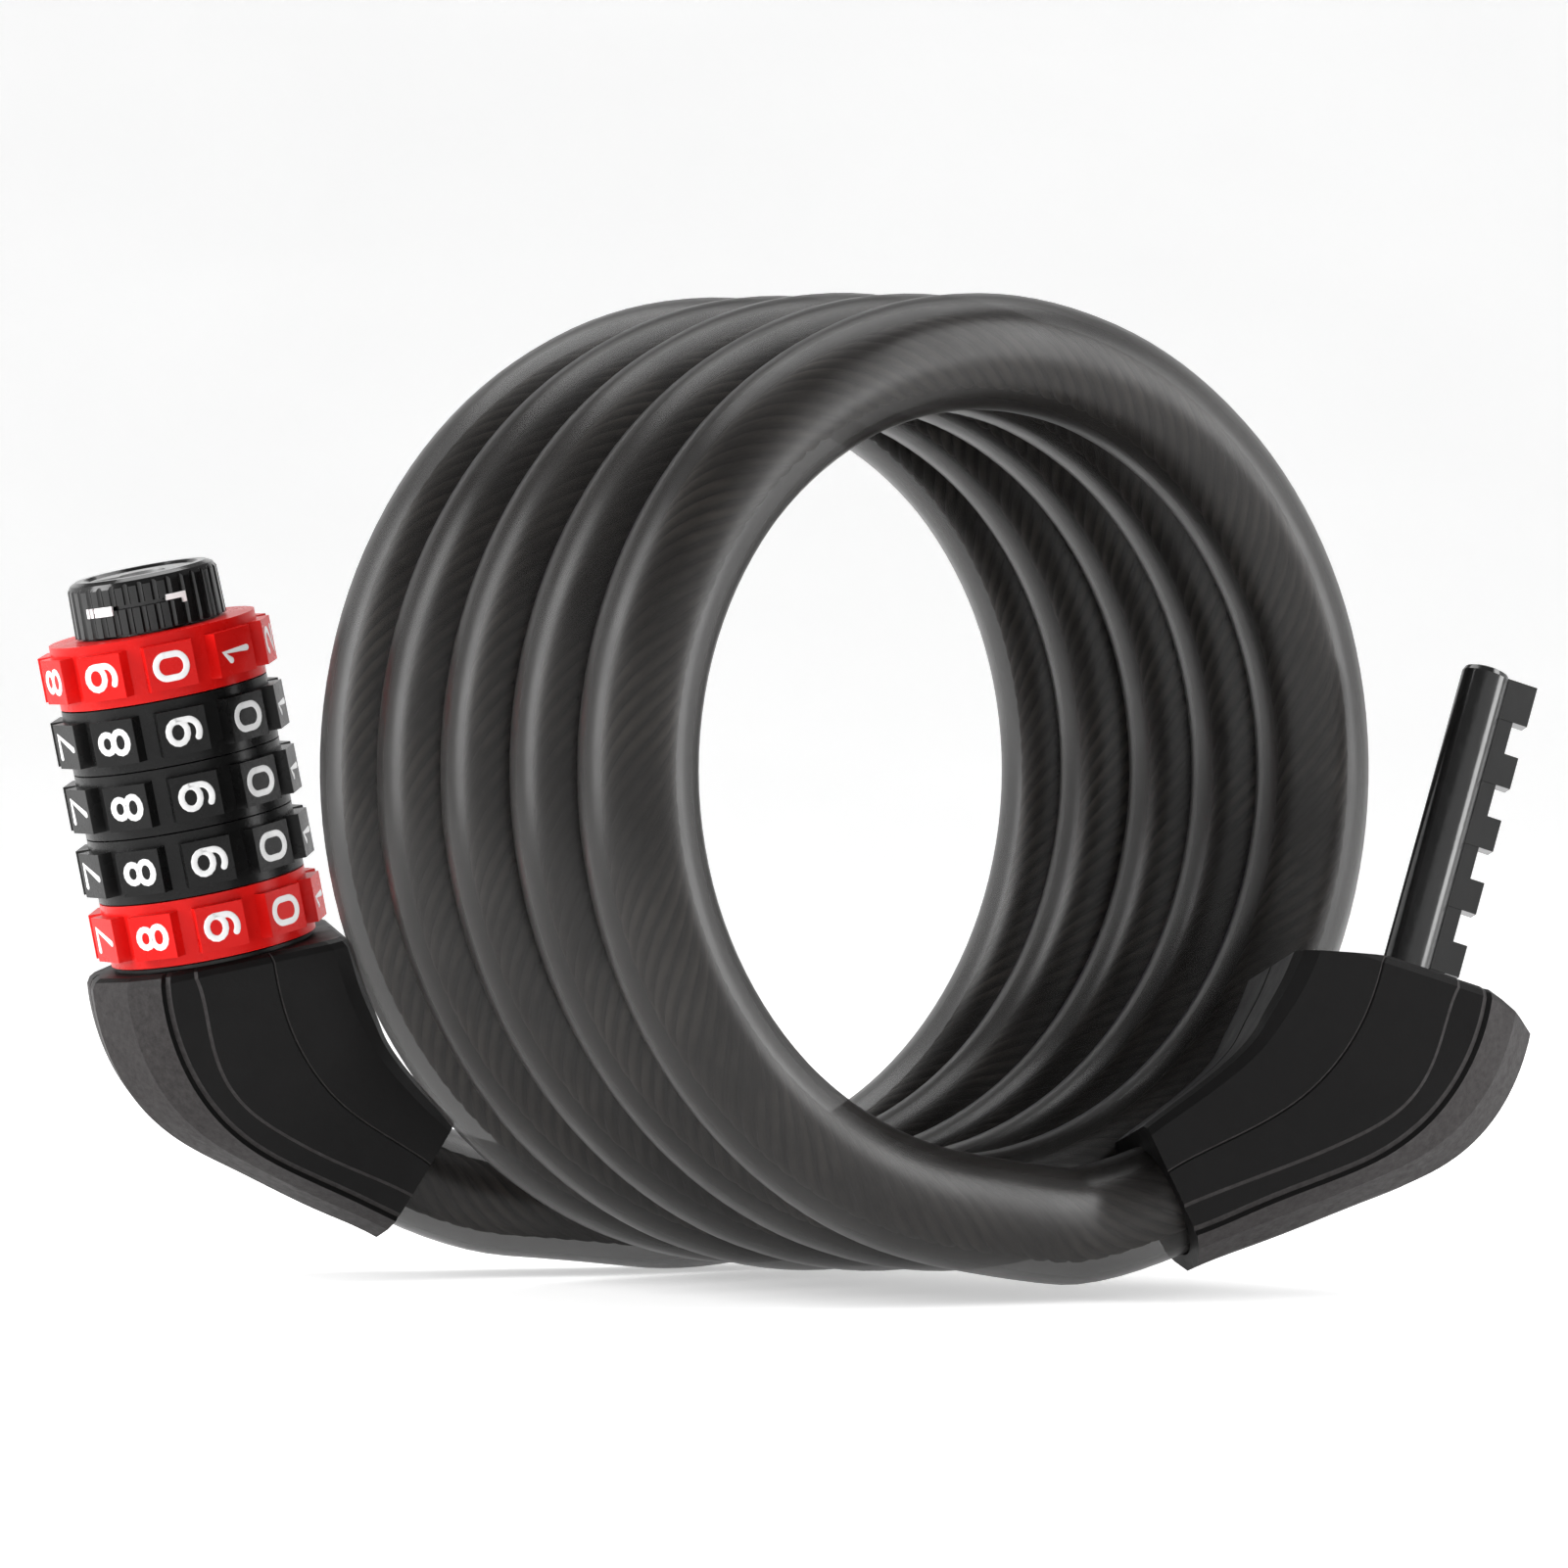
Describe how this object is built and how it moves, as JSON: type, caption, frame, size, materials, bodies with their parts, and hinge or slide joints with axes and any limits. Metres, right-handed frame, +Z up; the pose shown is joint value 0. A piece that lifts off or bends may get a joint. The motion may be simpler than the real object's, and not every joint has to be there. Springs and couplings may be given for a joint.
{
  "type": "cable lock",
  "caption": "Self-coiling cable lock: a twisted steel cable in a smoky sheath, with a resettable dial combination head on one end and a toothed bolt on the other.",
  "frame": {"origin": "middle of the box round the two heads, low inside the coil", "axes": "+Z up, +Y along the coil's axis from the bolt's end of the cable to the dial head's end, +X from the dial head to the bolt head"},
  "size_m": [0.1282, 0.1144, 0.1043],
  "materials": {
    "dial_red": "moulded, satin gloss",
    "dial_black": "moulded, satin gloss",
    "knob_black": "high gloss, fluted",
    "bolt_black": "gloss black coat over steel",
    "housing_black": "fine satin texture",
    "zinc": "die cast",
    "steel": "plain",
    "cable_sheath": "smoky translucent vinyl over twisted steel"
  },
  "bodies": {
    "root": {"dial_housing_front": "housing_black", "dial_housing_rear": "housing_black", "end_washer": "steel", "barrel_anchor": "zinc", "reset_spring": "steel", "dial_ferrule": "steel", "dial_pin": "steel", "bolt_housing_front": "housing_black", "bolt_housing_rear": "housing_black", "bolt": "bolt_black", "bolt_anchor": "zinc", "bolt_ferrule": "steel", "bolt_pin": "steel", "cable_coil": "cable_sheath", "cable_tail_dial": "cable_sheath", "cable_tail_bolt": "cable_sheath"},
    "dial_ring_1": {"dial_1": "dial_red", "tumbler_1": "zinc"},
    "dial_ring_2": {"dial_2": "dial_black", "tumbler_2": "zinc"},
    "dial_ring_3": {"dial_3": "dial_black", "tumbler_3": "zinc"},
    "dial_ring_4": {"dial_4": "dial_black", "tumbler_4": "zinc"},
    "dial_ring_5": {"dial_5": "dial_red", "tumbler_5": "zinc"},
    "knob": {"reset_knob": "knob_black"},
    "core": {"core_barrel": "zinc", "detent_leaf": "steel", "knob_clip": "steel"}
  },
  "joints": [
    {"name": "dial_1_spin", "type": "hinge", "parent": "root", "child": "dial_ring_1", "pos_m": [-0.05142, 0.04434, 0.02633], "axis": [-0.2168, 0.0049, 0.9762], "continuous": true},
    {"name": "dial_2_spin", "type": "hinge", "parent": "root", "child": "dial_ring_2", "pos_m": [-0.0499, 0.0443, 0.01949], "axis": [-0.2168, 0.0049, 0.9762], "continuous": true},
    {"name": "dial_3_spin", "type": "hinge", "parent": "root", "child": "dial_ring_3", "pos_m": [-0.04838, 0.04427, 0.01266], "axis": [-0.2168, 0.0049, 0.9762], "continuous": true},
    {"name": "dial_4_spin", "type": "hinge", "parent": "root", "child": "dial_ring_4", "pos_m": [-0.04686, 0.04424, 0.00583], "axis": [-0.2168, 0.0049, 0.9762], "continuous": true},
    {"name": "dial_5_spin", "type": "hinge", "parent": "root", "child": "dial_ring_5", "pos_m": [-0.04534, 0.0442, -0.00101], "axis": [-0.2168, 0.0049, 0.9762], "continuous": true},
    {"name": "knob_turn", "type": "hinge", "parent": "root", "child": "knob", "pos_m": [-0.05285, 0.04437, 0.03277], "axis": [-0.2168, 0.0049, 0.9762], "range_deg": [0, 90]},
    {"name": "core_slide", "type": "slide", "parent": "root", "child": "core", "axis": [-0.2168, 0.0049, 0.9762], "range_m": [0, 0.0012], "deforming": ["reset_spring"]}
  ],
  "couplings": [
    {"joint": "knob_turn", "follows": "core_slide", "rad_per_m": 1309}
  ]
}
